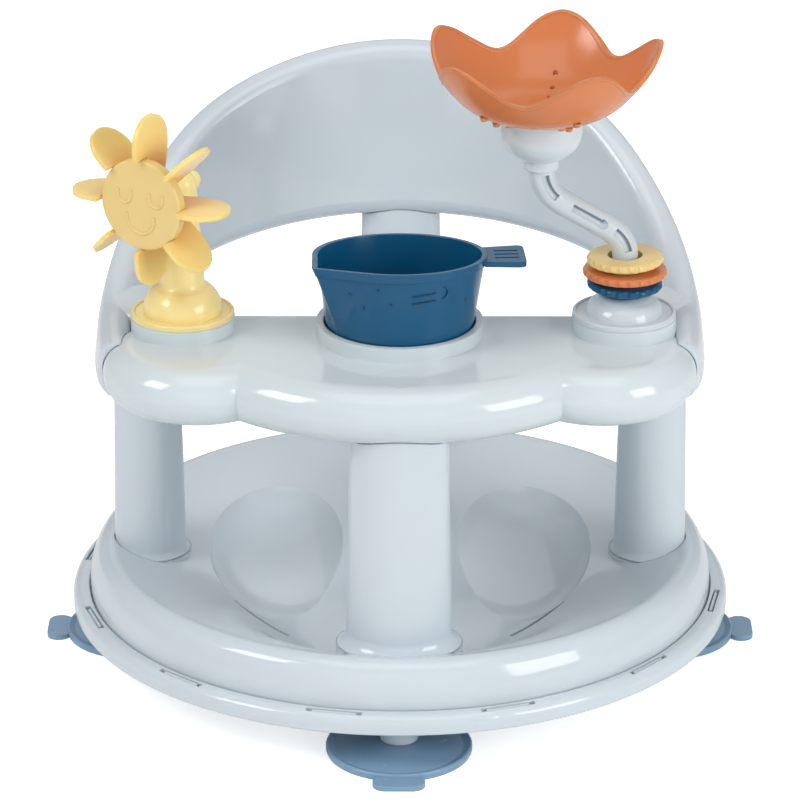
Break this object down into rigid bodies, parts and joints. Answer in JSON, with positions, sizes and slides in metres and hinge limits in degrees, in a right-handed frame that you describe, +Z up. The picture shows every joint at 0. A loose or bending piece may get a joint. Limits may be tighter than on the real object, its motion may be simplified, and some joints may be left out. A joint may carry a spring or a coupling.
{
  "type": "swivel baby bath seat",
  "caption": "Swivel baby bath seat with suction cups, backrest, play tray, pouring cup, sun mill and flower shower.",
  "frame": {"origin": "on the floor, under the axis on which the seat turns", "axes": "+Z up along the swivel axis, -Y towards the play tray, +X to the right as seen from the tray"},
  "size_m": [0.4014, 0.4014, 0.3652],
  "materials": {
    "shell": "satin moulded gloss",
    "tray": "satin moulded gloss",
    "toy_base": "moulded gloss",
    "suction": "soft, slightly translucent",
    "screw_steel": "stainless",
    "yellow": "moulded gloss",
    "pin": "smooth",
    "petrol": "moulded gloss",
    "orange": "moulded gloss"
  },
  "bodies": {
    "base": {"base_plate": "shell", "retaining_ring": "shell", "suction_cup_front": "suction", "suction_cup_right": "suction", "suction_cup_back": "suction", "suction_cup_left": "suction"},
    "seat": {"seat_pan": "shell", "front_post": "shell", "left_post": "shell", "right_post": "shell", "back_post": "shell", "post_screws": "screw_steel", "backrest": "shell", "play_tray": "tray", "tray_cover": "tray", "cover_screws": "screw_steel"},
    "sun_toy": {"sun_stand": "yellow", "sun_axle": "pin", "sun_knob": "yellow"},
    "sun_mill": {"sun_wheel": "yellow", "sun_face": "yellow"},
    "cup": {"pouring_cup": "petrol"},
    "flower_toy": {"flower_stand": "toy_base", "flower_arm": "toy_base", "flower_holder": "toy_base"},
    "dish": {"flower_dish": "orange"},
    "blue": {"ring_blue": "petrol"},
    "orange": {"ring_orange": "orange"},
    "yellow": {"ring_yellow": "yellow"}
  },
  "joints": [
    {"name": "seat_swivel", "type": "hinge", "parent": "base", "child": "seat", "pos_m": [0, 0, 0.0185], "axis": [0, 0, 1], "continuous": true},
    {"name": "sun_lift", "type": "slide", "parent": "seat", "child": "sun_toy", "axis": [0, 0, 1], "range_m": [0, 0.03]},
    {"name": "sun_spin", "type": "hinge", "parent": "sun_toy", "child": "sun_mill", "pos_m": [-0.1175, -0.05, 0.286], "axis": [-0.515, -0.8572, 0], "continuous": true},
    {"name": "cup_lift", "type": "slide", "parent": "seat", "child": "cup", "axis": [0, 0, 1], "range_m": [0, 0.04]},
    {"name": "flower_lift", "type": "slide", "parent": "seat", "child": "flower_toy", "axis": [0, 0, 1], "range_m": [0, 0.03]},
    {"name": "dish_spin", "type": "hinge", "parent": "flower_toy", "child": "dish", "pos_m": [0.07548, -0.05, 0.32], "axis": [0, 0, 1], "continuous": true},
    {"name": "blue_spin", "type": "hinge", "parent": "flower_toy", "child": "blue", "pos_m": [0.1215, -0.05, 0.2283], "axis": [0.0209, 0, 0.9998], "continuous": true},
    {"name": "orange_spin", "type": "hinge", "parent": "flower_toy", "child": "orange", "pos_m": [0.1215, -0.05, 0.2355], "axis": [0, 0, 1], "continuous": true},
    {"name": "yellow_spin", "type": "hinge", "parent": "flower_toy", "child": "yellow", "pos_m": [0.1215, -0.05, 0.2427], "axis": [-0.0209, 0, 0.9998], "continuous": true}
  ]
}
